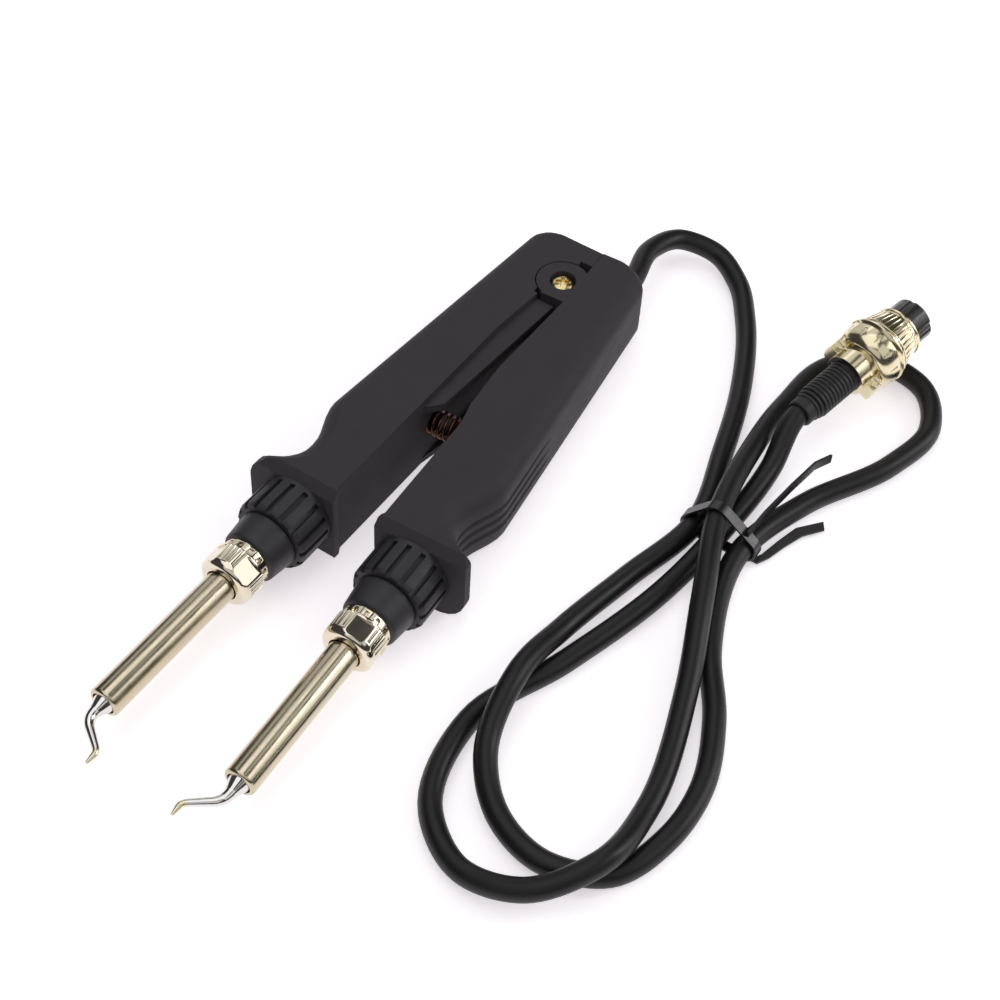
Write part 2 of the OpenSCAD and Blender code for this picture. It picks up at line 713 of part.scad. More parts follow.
// Flanged pivot sleeve that both knuckles turn on, tapped for the screw
module pivot_sleeve() {
    color(steel) translate([0, pivot_y, 0]) difference() {
        union() {
            translate([0, 0, sleeve_sink - seat_gap - sleeve_flange_t])
                cylinder(d = sleeve_flange_d, h = sleeve_flange_t);
            translate([0, 0, sleeve_sink - seat_gap - eps])
                cylinder(d = sleeve_d, h = arm_h - pivot_sink - sleeve_sink);
        }
        translate([0, 0, sleeve_sink + 1]) cylinder(d = pivot_thread_d + 2 * fit_gap, h = arm_h);
    }
}

// Thin washer between the two knuckles
module pivot_washer() {
    color([0.8, 0.78, 0.7]) translate([0, pivot_y, mid - washer_t / 2]) difference() {
        cylinder(r = knuckle_r - 1.5, h = washer_t);
        translate([0, 0, -1]) cylinder(d = sleeve_d + 2 * seat_gap, h = washer_t + 2);
    }
}

// Compression spring across the gap between the arms
module return_spring() {
    reach = (inner_x + pocket_depth) * cos(open_half) + spring_y * sin(open_half) - move_gap;
    coil_r = (spring_d - spring_wire) / 2;
    sides = 12;
    count = spring_turns * sides;
    place = [0, pivot_y - spring_y * cos(open_half), mid];
    path = [for (i = [0:count])
        let (a = 360 * i / sides)
        [-reach + spring_wire / 2 + (2 * reach - spring_wire) * i / count,
         coil_r * cos(a), coil_r * sin(a)]];
    rings = [for (i = [0:count])
        let (a = 360 * i / sides, out = [0, cos(a), sin(a)])
        [for (j = [0:5])
            path[i] + spring_wire / 2 * (cos(60 * j) * out + sin(60 * j) * [1, 0, 0])]];
    color([0.45, 0.28, 0.18]) translate(place)
        polyhedron([for (r = rings) each r], skin_faces(count + 1, 6), convexity = 20);
}

// Rubber grommet in the right arm's rear wall
grommet_lip = 0.6;
module cord_grommet() {
    color([0.1, 0.1, 0.1]) right_arm() translate([exit_x, arm_rear, mid]) rotate([90, 0, 0])
        rotate_extrude() polygon([
            [cord_d / 2, -0.5], [grommet_d / 2 - 0.3, -0.5], [grommet_d / 2, -0.2], [grommet_d / 2, 0],
            [grommet_d / 2 - grommet_lip - seat_gap, 0],
            [grommet_d / 2 - grommet_lip - seat_gap, wall], [grommet_d / 2, wall],
            [grommet_d / 2, wall + 1], [cord_d / 2, wall + 1]
        ]);
}

// Crimped ferrule that keeps the cord from being pulled out
ferrule_len = 4;
module cord_ferrule() {
    color(steel) right_arm() translate([exit_x, arm_rear - wall - 1, mid]) rotate([90, 0, 0])
        difference() {
            cylinder(d = cord_d + 1.6, h = ferrule_len);
            translate([0, 0, -1]) cylinder(d = cord_d, h = ferrule_len + 2);
        }
}

// Places on the plug, as distances along its axis from the middle of the coupling ring
plug_at = [75.7, 113.9, 14.6];
plug_turn = 13.8;
plug_rise = 6;
plug_front = ring_len / 2 + insert_show;
clamp_rear = -16;
clamp_len = 5;
boot_rear = clamp_rear - boot_len;
plug_dir = [sin(plug_turn) * cos(plug_rise), cos(plug_turn) * cos(plug_rise), sin(plug_rise)];
function plug_point(t) = plug_at + t * plug_dir;
module on_plug() {
    translate(plug_at) rotate([plug_rise - 90, 0, -plug_turn]) children();
}

// A place in the right arm, at the height of its parting plane
function arm_point(x, y) = [
    x * cos(open_half) - y * sin(open_half),
    pivot_y + x * sin(open_half) + y * cos(open_half),
    mid
];
cord_in = arm_rear - wall - 1 - ferrule_len;

// Route of the cord: out of the rear wall, round and down to the table, through the tie, twice round
// the loops in front, and under the plug back to its boot
route = [
    arm_point(exit_x, cord_in), arm_point(exit_x, arm_rear + 6), [7, 115.3, 9.2], [10.5, 125.9, 6.6],
    [20.1, 128.7, 4.4], [29.7, 123.2, 3.1], [38, 112, 2.9], [48.5, 90, 2.9], [55.6, 66.5, 3.2],
    [61, 42, 3.7], [55.5, 19.1, 2.9], [51.6, -3.5, 5.2], [51, -22.5, 9.2], [55.4, -42.4, 5],
    [65.3, -52.8, 3.2], [78.7, -56.9, 2.9], [92.3, -51.7, 2.9], [98.1, -37.5, 2.9], [98.2, -22.8, 2.9],
    [91.9, -5.1, 2.9], [81.9, 11.4, 2.9], [74.2, 40, 3.7], [80, 63, 2.9], [92.3, 87, 2.9],
    [95.2, 103, 2.9], [87.6, 115.6, 2.9], [74, 117.6, 2.9], [64, 108.6, 2.9], [61, 90, 3.2],
    [62.2, 70, 7.2], [66.4, 42, 9.7], [75, 19, 9.3], [83.7, -3.8, 5.4], [91.3, -35.1, 4.8],
    [90.5, -54.3, 9.3], [80.2, -66.2, 6], [65.8, -68.3, 3.3], [52.8, -59.9, 2.9], [46.7, -35.8, 2.9],
    [56.2, -9.7, 2.9], [64.7, 21.4, 2.9], [67.5, 44, 3.7], [68.4, 67, 5.2], plug_point(boot_rear - 0.5),
    plug_point(boot_rear + 6)
];
function chord(i) = norm(route[i + 1] - route[i]);
function run(i) = (route[i + 1] - route[i]) / chord(i);
function tangent(i) =
    i == 0 ? [-sin(open_half), cos(open_half), 0]
    : i == len(route) - 1 ? plug_dir
    : (run(i) * chord(i - 1) + run(i - 1) * chord(i)) / (chord(i - 1) + chord(i));
function route_point(i, t) =
    let (a = route[i], d = route[i + 1], b = a + tangent(i) * chord(i) / 3,
         c = d - tangent(i + 1) * chord(i) / 3)
    pow(1 - t, 3) * a + 3 * t * pow(1 - t, 2) * b + 3 * t * t * (1 - t) * c + pow(t, 3) * d;

// Free cord along its route
module cord() {
    path = concat(
        [for (i = [0:len(route) - 2]) each [route_point(i, 0), route_point(i, 0.5)]],
        [route[len(route) - 1]]
    );
    color([0.12, 0.115, 0.125]) swept(path, [for (p = path) cord_d / 2], 10);
}

// Flat plastic tie round the four runs of the cord: a band, a tail on edge and a tail that lies flat
tie_at = [67.5, 42.5];
tie_w = 2.8;
tie_t = 0.6;
tie_gap = 0.2;
module cord_tie() {
    pack = [[-6.45, 3.7], [7.05, 3.65], [-1.25, 9.7]];
    up_left = pack[2] - pack[0];
    up_right = pack[2] - pack[1];
    left_a = atan2(up_left.y, up_left.x) + 90;
    right_a = atan2(up_right.y, up_right.x) - 90;
    arcs = [[left_a, 270], [270, 360 + right_a], [right_a, left_a]];
    function band(r) = [for (k = [0:2]) for (i = [0:8])
        let (a = arcs[k][0] + (arcs[k][1] - arcs[k][0]) * i / 8)
        pack[k] + r * [cos(a), sin(a)]];
    inner_r = cord_d / 2 + tie_gap;
    upright = [[6.8, -0.5], [7.2, 7.5], [8.6, 19], [10.1, 28.5], [12.3, 33]];
    flat_inner = [[9.2, -1.4], [10.8, 1.6], [12.2, 7.6], [13.9, 13.6], [18.6, 19.2]];
    flat_outer = [[20, 17], [16.4, 12.4], [14.4, 7], [12.8, 1.6], [11.2, -1.4]];
    color([0.09, 0.09, 0.095]) translate(tie_at) {
        translate([0, tie_w / 2, 0]) rotate([90, 0, 0]) linear_extrude(tie_w) difference() {
            polygon(band(inner_r + tie_t));
            polygon(band(inner_r));
        }
        translate([0, 0, 6.8]) linear_extrude(tie_w) polygon(concat(
            upright, [for (i = [len(upright) - 1:-1:0]) upright[i] + [tie_t, 0]]
        ));
        translate([0, 0, 1.2]) linear_extrude(tie_t) polygon(concat(flat_inner, flat_outer));
    }
}

// Ribbed rubber boot on the plug's cable end
module plug_boot() {
    ribs = 12;
    rib_depth = 0.3;
    tail_d = cord_d + 1.6;
    tail_len = 3;
    pitch = (boot_len - tail_len) / ribs;
    neck_in = clamp_len + 2;
    color([0.1, 0.1, 0.105]) on_plug() rotate_extrude() polygon(concat(
        [[cord_d / 2, boot_rear], [tail_d / 2 - 0.3, boot_rear], [tail_d / 2, boot_rear + 0.3],
         [tail_d / 2, boot_rear + tail_len]],
        [for (i = [0:ribs - 1])
            let (z = boot_rear + tail_len + i * pitch,
                 r = tail_d / 2 + (boot_d - tail_d) / 2 * min(1, (i + 1) / 3))
            each [[r, z], [r, z + pitch * 0.6], [r - rib_depth, z + pitch * 0.7],
                  [r - rib_depth, z + pitch * 0.9]]],
        [[boot_d / 2, clamp_rear], [boot_d / 2, clamp_rear + neck_in],
         [cord_d / 2, clamp_rear + neck_in]]
    ));
}

// Cable clamp: a split saddle with a rounded lug for a screw on each side, turned a little on the plug
clamp_turn = 20;
clamp_screw_d = 1.6;
clamp_screw_x = 6.4;
clamp_screw_z = clamp_rear + clamp_len / 2 + 0.6;
lug_h = 5.2;
module plug_clamp() {
    lug_d = 16.2;
    lug_rear = 1.2;
    bore = boot_d + 2 * seat_gap;
    color(nickel) on_plug() rotate(clamp_turn) difference() {
        union() {
            translate([0, 0, clamp_rear]) cylinder(d = bore + 2.2, h = clamp_len);
            intersection() {
                translate([-lug_d, -lug_h / 2, clamp_rear + lug_rear])
                    cube([2 * lug_d, lug_h, clamp_len - lug_rear]);
                translate([0, 0, clamp_rear]) cylinder(d = lug_d, h = clamp_len + 1);
            }
        }
        translate([0, 0, clamp_rear - 1]) cylinder(d = bore, h = clamp_len + 2);
        for (side = [-1, 1])
            translate([side * clamp_screw_x, -lug_h, clamp_screw_z]) rotate([-90, 0, 0])
                cylinder(d = clamp_screw_d + 2 * seat_gap, h = 2 * lug_h);
    }
}

// Two small screws through the clamp's lugs, entered from above
module plug_clamp_screws() {
    head_d = 2.6;
    head_h = 1;
    slot_w = 0.5;
    color(nickel) on_plug() rotate(clamp_turn)
        for (side = [-1, 1])
            translate([side * clamp_screw_x, -lug_h / 2, clamp_screw_z]) rotate([90, 0, 0]) {
                difference() {
                    cylinder(d = head_d, h = head_h);
                    translate([-head_d, -slot_w / 2, head_h / 2]) cube([2 * head_d, slot_w, head_h]);
                }
                translate([0, 0, -lug_h]) cylinder(d = clamp_screw_d, h = lug_h + eps);
            }
}

// Back shell: a fluted dome, and the barrel that carries the coupling ring and the insert
ring_rear = -ring_len / 2;
ring_bore = 13;
shell_flange = 13.8;
insert_rear = ring_rear - 2.5;
module plug_shell() {
    shell_rear = clamp_rear + clamp_len;
    shell_front = ring_rear - 2 * seat_gap;
    rear_r = 6.3;
    dome_r = ring_d / 2 - 0.3;
    flutes = 12;
    flute_r = 0.35;
    color(nickel) on_plug() difference() {
        rotate_extrude() polygon(concat(
            [[boot_d / 2 + seat_gap, shell_rear]],
            [for (a = [0:15:90])
                [rear_r + (dome_r - rear_r) * sin(a),
                 shell_rear + (shell_front - shell_rear) * 0.8 * (1 - cos(a))]],
            [[dome_r, shell_front], [ring_bore / 2 - fit_gap, shell_front],
             [ring_bore / 2 - fit_gap, ring_rear + 2.2], [shell_flange / 2, ring_rear + 2.2],
             [shell_flange / 2, ring_rear + 3.4], [insert_d / 2 + seat_gap, ring_rear + 3.4],
             [insert_d / 2 + seat_gap, insert_rear], [boot_d / 2 + seat_gap, insert_rear]]
        ));
        for (i = [0:flutes - 1])
            rotate(360 * (i + 0.5) / flutes)
                translate([dome_r, 0, shell_rear - 1]) cylinder(r = flute_r, h = shell_front - shell_rear);
    }
}

// Knurled coupling ring, tapered from a rear bead to a thin front edge, with a lip that runs on the
// back shell
module coupling_ring() {
    knurls = 36;
    knurl_r = 0.3;
    bead = 2.2;
    bead_r = 0.8;
    cone_r = ring_d / 2 - bead_r;
    cone_rear = ring_rear + bead + 0.4;
    cone_front = ring_len / 2 - 1;
    rim_r = ring_front_d / 2;
    lean = atan2(cone_r - rim_r, cone_front - cone_rear);
    thread_r = shell_flange / 2 + move_gap;
    mouth_r = insert_d / 2 + move_gap;
    color(nickel) on_plug() difference() {
        rotate_extrude() polygon([
            [ring_bore / 2, ring_rear], [cone_r, ring_rear], [ring_d / 2, ring_rear + bead_r],
            [ring_d / 2, ring_rear + bead - bead_r], [cone_r, ring_rear + bead],
            [cone_r - 0.2, ring_rear + bead], [cone_r - 0.2, cone_rear], [cone_r, cone_rear],
            [rim_r, cone_front], [rim_r + 0.2, cone_front + 0.2], [rim_r + 0.2, ring_len / 2 - 0.2],
            [rim_r, ring_len / 2], [mouth_r, ring_len / 2], [mouth_r, cone_front - 0.5],
            [thread_r, ring_rear + 4.5], [thread_r, ring_rear + 2], [ring_bore / 2, ring_rear + 2]
        ]);
        for (i = [0:knurls - 1])
            rotate(360 * i / knurls) translate([cone_r + 0.1, 0, cone_rear]) rotate([0, -lean, 0])
                translate([0, 0, 0.5]) cylinder(r = knurl_r, h = cone_front - cone_rear - 1);
    }
}

// Moulded insert with lengthwise grooves and a hole for each contact
contact_circle = 3.2;
contact_d = 1.8;
module plug_insert() {
    grooves = 4;
    groove_r = 1.4;
    key_a = -106;
    color([0.07, 0.07, 0.075]) on_plug() difference() {
        rotate_extrude() polygon([
            [0, insert_rear], [insert_d / 2, insert_rear], [insert_d / 2, plug_front - 0.8],
            [insert_d / 2 - 0.8, plug_front], [0, plug_front]
        ]);
        for (i = [0:grooves - 1])
            rotate(360 * i / grooves + key_a) translate([insert_d / 2 + 0.3, 0, ring_len / 2 - 0.5])
                cylinder(r = groove_r, h = insert_show + 2);
        for (i = [0:contacts - 1])
            rotate(360 * i / contacts + 18) translate([contact_circle, 0, plug_front - 9])
                cylinder(d = contact_d + 2 * fit_gap, h = 10);
    }
}

// Brass socket contacts in the insert
module plug_contacts() {
    color([0.8, 0.65, 0.3]) on_plug()
        for (i = [0:contacts - 1])
            rotate(360 * i / contacts + 18) translate([contact_circle, 0, plug_front - 9])
                difference() {
                    cylinder(d = contact_d, h = 8.6);
                    translate([0, 0, 2]) cylinder(d = contact_d - 0.7, h = 8);
                }
}

right_upper_shell();
right_lower_shell();
right_shell_screws();
right_nipple();
right_collar();
right_lock_ring();
right_nut();
right_barrel();
right_heater();
right_tip();
right_leads();
left_upper_shell();
left_lower_shell();
left_shell_screws();
left_nipple();
left_collar();
left_lock_ring();
left_nut();
left_barrel();
left_heater();
left_tip();
left_leads();
pivot_screw();
pivot_sleeve();
pivot_washer();
return_spring();
cord_grommet();
cord_ferrule();
cord();
cord_tie();
plug_boot();
plug_clamp();
plug_clamp_screws();
plug_shell();
coupling_ring();
plug_insert();
plug_contacts();
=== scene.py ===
"""Soldering tweezers dressed for a studio view: softened shells, plated metal, laid cord and plug."""
import json
import math

import bpy
from bpy.props import FloatProperty, FloatVectorProperty, IntProperty, PointerProperty
from mathutils import Matrix, Vector


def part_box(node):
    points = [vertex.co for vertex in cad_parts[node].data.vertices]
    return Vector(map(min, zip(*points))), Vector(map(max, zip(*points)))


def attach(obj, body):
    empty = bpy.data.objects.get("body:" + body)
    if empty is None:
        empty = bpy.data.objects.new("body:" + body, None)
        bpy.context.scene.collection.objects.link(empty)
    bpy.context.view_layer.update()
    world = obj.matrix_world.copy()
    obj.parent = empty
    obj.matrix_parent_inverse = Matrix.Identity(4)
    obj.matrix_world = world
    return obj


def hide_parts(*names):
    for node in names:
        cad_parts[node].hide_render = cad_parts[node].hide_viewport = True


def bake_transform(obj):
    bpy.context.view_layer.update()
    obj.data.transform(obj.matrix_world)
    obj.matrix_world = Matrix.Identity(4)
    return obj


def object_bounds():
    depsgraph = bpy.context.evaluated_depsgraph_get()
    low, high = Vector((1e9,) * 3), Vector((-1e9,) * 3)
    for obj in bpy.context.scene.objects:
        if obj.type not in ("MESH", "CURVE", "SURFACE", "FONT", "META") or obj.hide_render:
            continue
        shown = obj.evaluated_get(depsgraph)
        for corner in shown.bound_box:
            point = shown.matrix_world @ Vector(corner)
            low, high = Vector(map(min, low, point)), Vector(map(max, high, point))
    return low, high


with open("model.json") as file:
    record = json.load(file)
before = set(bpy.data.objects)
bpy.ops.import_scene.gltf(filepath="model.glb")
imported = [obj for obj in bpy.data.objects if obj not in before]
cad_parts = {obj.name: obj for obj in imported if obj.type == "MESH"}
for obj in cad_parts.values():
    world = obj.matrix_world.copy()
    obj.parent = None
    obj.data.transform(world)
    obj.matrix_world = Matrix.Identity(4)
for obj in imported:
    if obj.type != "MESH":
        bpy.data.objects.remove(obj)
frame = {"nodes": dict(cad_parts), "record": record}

bl_info = {
    "name": "Soldering tweezers",
    "version": (1, 0, 0),
    "blender": (4, 5, 0),
    "location": "View3D > Sidebar > Tweezers",
    "description": "Dresses the packed soldering tweezers and sets a studio stage",
    "category": "Object",
}

MM = 0.001
CAD_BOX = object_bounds()
RECORD = frame["record"]
BODY_OF = {node: body for body, nodes in RECORD["behaviour"]["bodies"].items() for node in nodes}
HINGE = [joint for joint in RECORD["behaviour"]["joints"] if joint["name"] == "arm_squeeze"][0]
PIVOT = Vector(HINGE["pos_m"])

# Half of the angle between the open arms, and the direction in which the plug points
OPEN_HALF = math.radians(1.7)
PLUG_DIR = Vector((0.237226, 0.965814, 0.104528))
SIDES = ((1, "right"), (-1, "left"))

# The camera that took the photo: angles in degrees, lens and sensor in millimetres, places in metres
CAMERA_TURN, CAMERA_HEIGHT, CAMERA_ROLL = 29.63, 49.26, 3.59
CAMERA_LENS, CAMERA_SENSOR = 72.07, 36
CAMERA_AWAY = 0.48724
CAMERA_LOOK = Vector((0.01693, 0.02458, 0))

# Studio lights: name, place in metres, width and height, watts. The key hangs over the arms, and the front
# and right panels fill the sides that face the camera. The panels behind are what the plated metal mirrors,
# with dark gaps between them, and the narrow strip draws the bright line along rounded edges.
LIGHTS = (
    ("key_softbox", (-0.15, -0.1, 1.25), (1.3, 1.2), 5.6),
    ("front_panel", (0.25, -0.95, 0.85), (1.5, 0.8), 2.2),
    ("right_panel", (0.9, -0.05, 0.85), (0.8, 0.8), 1.4),
    ("back_left_panel", (-0.62, 0.7, 0.42), (0.8, 0.8), 1.2),
    ("back_top_panel", (-0.33, 0.7, 0.93), (0.54, 0.8), 0.95),
    ("back_mid_panel", (0.49, 0.7, 0.86), (0.27, 0.8), 0.5),
    ("back_right_panel", (0.84, 0.68, 0.52), (0.6, 0.8), 2.0),
    ("back_right_strip", (0.84, 0.69, 0.53), (0.07, 0.7), 2.0),
)
LIGHT_AIM = Vector((0.02, 0, 0))
FLOOR_SIZE, FLOOR_GAP, FLOOR_GLOW = 24, 0.05 * MM, 0.56
SKY_COLOUR, SKY_STRENGTH = "f4f0f6", 0.06

# Softened edges that aren't settings, and the limits used to clean and to shade meshes
COLLAR_EDGE, NUT_EDGE, LOCK_RING_EDGE, PIVOT_EDGE = 0.2 * MM, 0.08 * MM, 0.1 * MM, 0.08 * MM
MERGE, FINE_MERGE = 0.002 * MM, 0.001 * MM
FLAT_ANGLE, EDGE_ANGLE = math.radians(0.5), math.radians(30)
TIP_ANGLE, WIRE_ANGLE = math.radians(40), math.radians(50)
RIM_SEGMENTS = 4
WIRE_SIDES, TURN_STEPS = 14, 40

# A tip's middle line, in millimetres out from and along its arm: where it starts inside the barrel, its two
# bends and its end
TIP_START = Vector((13.4, -160.2))
TIP_BENDS = Vector((13.4, -165.6)), Vector((6.2155, -170.6))
TIP_END = Vector((6.2155, -174))

# Places that the cord's middle line passes, in millimetres, from inside the arm to inside the plug's boot
CORD_ROUTE = (
    (10.082, 86.979, 10.8), (9.690, 100.173, 10.8), (7, 115.3, 9.2), (10.5, 125.9, 6.6), (20.1, 128.7, 4.4),
    (29.7, 123.2, 3.1), (38, 112, 2.9), (48.5, 90, 2.9), (55.6, 66.5, 3.2), (61, 42, 3.7), (55.5, 19.1, 2.9),
    (51.6, -3.5, 5.2), (51, -22.5, 9.2), (55.4, -42.4, 5), (65.3, -52.8, 3.2), (78.7, -56.9, 2.9),
    (92.3, -51.7, 2.9), (98.1, -37.5, 2.9), (98.2, -22.8, 2.9), (91.9, -5.1, 2.9), (81.9, 11.4, 2.9),
    (74.2, 40, 3.7), (80, 63, 2.9), (92.3, 87, 2.9), (95.2, 103, 2.9), (87.6, 115.6, 2.9), (74, 117.6, 2.9),
    (64, 108.6, 2.9), (61, 90, 3.2), (62.2, 70, 7.2), (66.4, 42, 9.7), (75, 19, 9.3), (83.7, -3.8, 5.4),
    (91.3, -35.1, 4.8), (90.5, -54.3, 9.3), (80.2, -66.2, 6), (65.8, -68.3, 3.3), (52.8, -59.9, 2.9),
    (46.7, -35.8, 2.9), (56.2, -9.7, 2.9), (64.7, 21.4, 2.9), (67.5, 44, 3.7), (68.4, 67, 5.2),
    (67.634, 81.062, 11.046), (69.176, 87.340, 11.725),
)


def hex_colour(text):
    """Turns an sRGB hex colour into the linear values that the shaders take."""
    parts = [int(text[i:i + 2], 16) / 255 for i in (0, 2, 4)]
    return tuple(c / 12.92 if c <= 0.04045 else ((c + 0.055) / 1.055) ** 2.4 for c in parts)


def colour_setting(label, text, words):
    """A colour that the panel shows."""
    return FloatVectorProperty(
        name=label, description=words, default=hex_colour(text), size=3, min=0, max=1, subtype="COLOR")


class TweezersFinish(bpy.types.PropertyGroup):
    """Colours of the finishes"""
    shell: colour_setting("Shell", "423f42", "Satin black plastic of the grip arms")
    sleeve: colour_setting("Sleeve", "333134", "Black plastic of the collars and tapered sleeves")
    nickel: colour_setting("Nickel", "e3dac6", "Warm nickel plate of the nuts and lock rings")
    plug: colour_setting("Plug plate", "e4d9b8", "Paler yellow nickel plate of the plug")
    steel: colour_setting("Barrel steel", "cabfa6", "Polished steel of the barrels")
    tip: colour_setting("Tip plate", "dedcd8", "Bright plate of the tips")
    tinned: colour_setting("Tinned end", "e2d9bb", "Yellowed solder on the working ends of the tips")
    spring: colour_setting("Spring wire", "6d4731", "Brown tinted wire of the return spring")
    pivot: colour_setting("Pivot screw", "dcc893", "Pale yellow plate of the pivot screw")
    cord: colour_setting("Cord", "171617", "Black jacket of the cord")
    rubber: colour_setting("Rubber", "18181a", "Black rubber of the boot and the grommet")
    insert: colour_setting("Insert", "242321", "Glossy black insert of the plug")
    ceramic: colour_setting("Ceramic", "e6e0d2", "Off-white heater rods")
    leads: colour_setting("Leads", "b9b3a6", "Pale sleeving of the heater leads")
    floor: colour_setting("Floor", "fbfbfc", "Plain pale studio floor")
    shade: colour_setting("Shade", "faf4f9", "Faint lavender that fills the shadows on the floor")


class TweezersSizes(bpy.types.PropertyGroup):
    """Sizes of what is modelled here"""
    shell_edge: FloatProperty(
        name="Shell edge", description="Width of the softened edges of the shells",
        default=0.25 * MM, min=0.02 * MM, max=0.6 * MM, unit="LENGTH", precision=5)
    small_edge: FloatProperty(
        name="Small edge", description="Width of the softened edges of the small pieces",
        default=0.12 * MM, min=0.01 * MM, max=0.4 * MM, unit="LENGTH", precision=5)
    cord_d: FloatProperty(
        name="Cord diameter", description="Diameter of the cord", default=5.5 * MM, min=4 * MM,
        max=7 * MM, unit="LENGTH", precision=5)
    cord_length: FloatProperty(
        name="Cord length", description="Length of the cord from the arm to the plug",
        default=0.860, min=0.5, max=2, unit="LENGTH", precision=4)
    spring_wire: FloatProperty(
        name="Spring wire", description="Diameter of the spring's wire", default=0.8 * MM,
        min=0.5 * MM, max=1.2 * MM, unit="LENGTH", precision=5)
    spring_turns: IntProperty(
        name="Spring turns", description="Number of turns of the spring", default=12, min=6, max=16)
    barrel_rim: FloatProperty(
        name="Barrel rim", description="Width of the rounding on the ends of a barrel", default=0.4 * MM,
        min=0.05 * MM, max=0.5 * MM, unit="LENGTH", precision=5)
    tip_base: FloatProperty(
        name="Tip base", description="Diameter of a tip where it leaves the barrel", default=5.4 * MM,
        min=4 * MM, max=5.6 * MM, unit="LENGTH", precision=5)
    tip_neck: FloatProperty(
        name="Tip neck", description="Diameter of a tip's bent neck", default=2.2 * MM, min=1.5 * MM,
        max=2.6 * MM, unit="LENGTH", precision=5)
    tip_foot: FloatProperty(
        name="Tip foot", description="Diameter of a tip's foot", default=1.2 * MM, min=0.8 * MM,
        max=1.6 * MM, unit="LENGTH", precision=5)


def sizes():
    """The scene's size settings."""
    return bpy.context.scene.tweezers_sizes


def finish():
    """The scene's colour settings."""
    return bpy.context.scene.tweezers_finish


# ---------------------------------------------------------------- materials

def add(tree, kind, options=None, inputs=None):
    """Adds a shader node, sets its options, and sets or links its inputs by name or place."""
    node = tree.nodes.new(kind)
    for name, value in (options or {}).items():
        setattr(node, name, value)
    for name, value in (inputs or {}).items():
        if isinstance(value, bpy.types.NodeSocket):
            tree.links.new(value, node.inputs[name])
        else:
            node.inputs[name].default_value = value
    return node


def new_material(name):
    """An empty node material and its tree."""
    material = bpy.data.materials.new(name)
    material.use_nodes = True
    tree = material.node_tree
    tree.nodes.clear()
    return material, tree


def tinted(colour, factor):
    """A colour made lighter or darker, with full alpha."""
    return tuple(min(1, c * factor) for c in colour) + (1,)


def grained(name, colour, roughness, grain_mm, depth_mm, spread=0.25, patch_mm=9, coat=0.0, shine=0.5):
    """Moulded plastic or rubber: a fine grain in the surface, and slow patches of tone and gloss."""
    made = bpy.data.materials.get(name)
    if made:
        return made
    material, tree = new_material(name)
    place = add(tree, "ShaderNodeTexCoord").outputs["Object"]
    grain = add(tree, "ShaderNodeTexNoise", None, {
        "Vector": place, "Scale": 1 / (grain_mm * MM), "Detail": 2, "Roughness": 0.6}).outputs[0]
    patch = add(tree, "ShaderNodeTexNoise", None, {
        "Vector": place, "Scale": 1 / (patch_mm * MM), "Detail": 4, "Roughness": 0.65}).outputs[0]
    tone = add(tree, "ShaderNodeMix", {"data_type": "RGBA"}, {
        0: patch, 6: tinted(colour, 1 - spread), 7: tinted(colour, 1 + spread)}).outputs[2]
    gloss = add(tree, "ShaderNodeMapRange", None, {
        "Value": patch, "From Min": 0.3, "From Max": 0.7,
        "To Min": roughness - 0.06, "To Max": roughness + 0.06}).outputs[0]
    bump = add(tree, "ShaderNodeBump", None, {
        "Height": grain, "Strength": 0.6, "Distance": depth_mm * MM}).outputs[0]
    shader = add(tree, "ShaderNodeBsdfPrincipled", None, {
        "Base Color": tone, "Roughness": gloss, "Normal": bump, "Specular IOR Level": shine,
        "Coat Weight": coat, "Coat Roughness": 0.15})
    add(tree, "ShaderNodeOutputMaterial", None, {"Surface": shader.outputs[0]})
    return material


def plated(name, colour, roughness, line_mm, depth_mm, turn=(0, 0, 0), stretch=(1, 1, 1), spread=0.1):
    """Bright metal: hair lines along one direction, and slow smudges that dull it here and there."""
    made = bpy.data.materials.get(name)
    if made:
        return made
    material, tree = new_material(name)
    place = add(tree, "ShaderNodeTexCoord").outputs["Object"]
    along = add(tree, "ShaderNodeMapping", None, {
        "Vector": place, "Rotation": turn, "Scale": stretch}).outputs[0]
    lines = add(tree, "ShaderNodeTexNoise", None, {
        "Vector": along, "Scale": 1 / (line_mm * MM), "Detail": 3, "Roughness": 0.55}).outputs[0]
    smudge = add(tree, "ShaderNodeTexNoise", None, {
        "Vector": place, "Scale": 1 / (7 * MM), "Detail": 4, "Roughness": 0.6}).outputs[0]
    tone = add(tree, "ShaderNodeMix", {"data_type": "RGBA"}, {
        0: lines, 6: tinted(colour, 1 - spread), 7: tinted(colour, 1 + spread)}).outputs[2]
    gloss = add(tree, "ShaderNodeMapRange", None, {
        "Value": smudge, "From Min": 0.3, "From Max": 0.75,
        "To Min": roughness * 0.7, "To Max": roughness * 1.4}).outputs[0]
    bump = add(tree, "ShaderNodeBump", None, {
        "Height": lines, "Strength": 0.35, "Distance": depth_mm * MM}).outputs[0]
    shader = add(tree, "ShaderNodeBsdfPrincipled", None, {
        "Base Color": tone, "Roughness": gloss, "Normal": bump, "Metallic": 1.0})
    add(tree, "ShaderNodeOutputMaterial", None, {"Surface": shader.outputs[0]})
    return material


def shell_plastic():
    # Satin black with the even sparkle of an eroded mould. The real grain is about 0.1 mm, drawn here at
    # 0.3 mm so that it shows.
    return grained("shell_satin_plastic", finish().shell, 0.56, 0.3, 0.02, spread=0.12, shine=0.08)


def sleeve_plastic():
    # Heat-resistant black with a soft sheen and less grain than the shells
    return grained("sleeve_satin_plastic", finish().sleeve, 0.46, 0.35, 0.01, spread=0.15, patch_mm=5,
                   shine=0.35)


def collar_plastic():
    # The same black, a little duller because the ribs are handled most
    return grained("collar_ribbed_plastic", finish().sleeve, 0.52, 0.3, 0.02, spread=0.2, patch_mm=4,
                   shine=0.35)


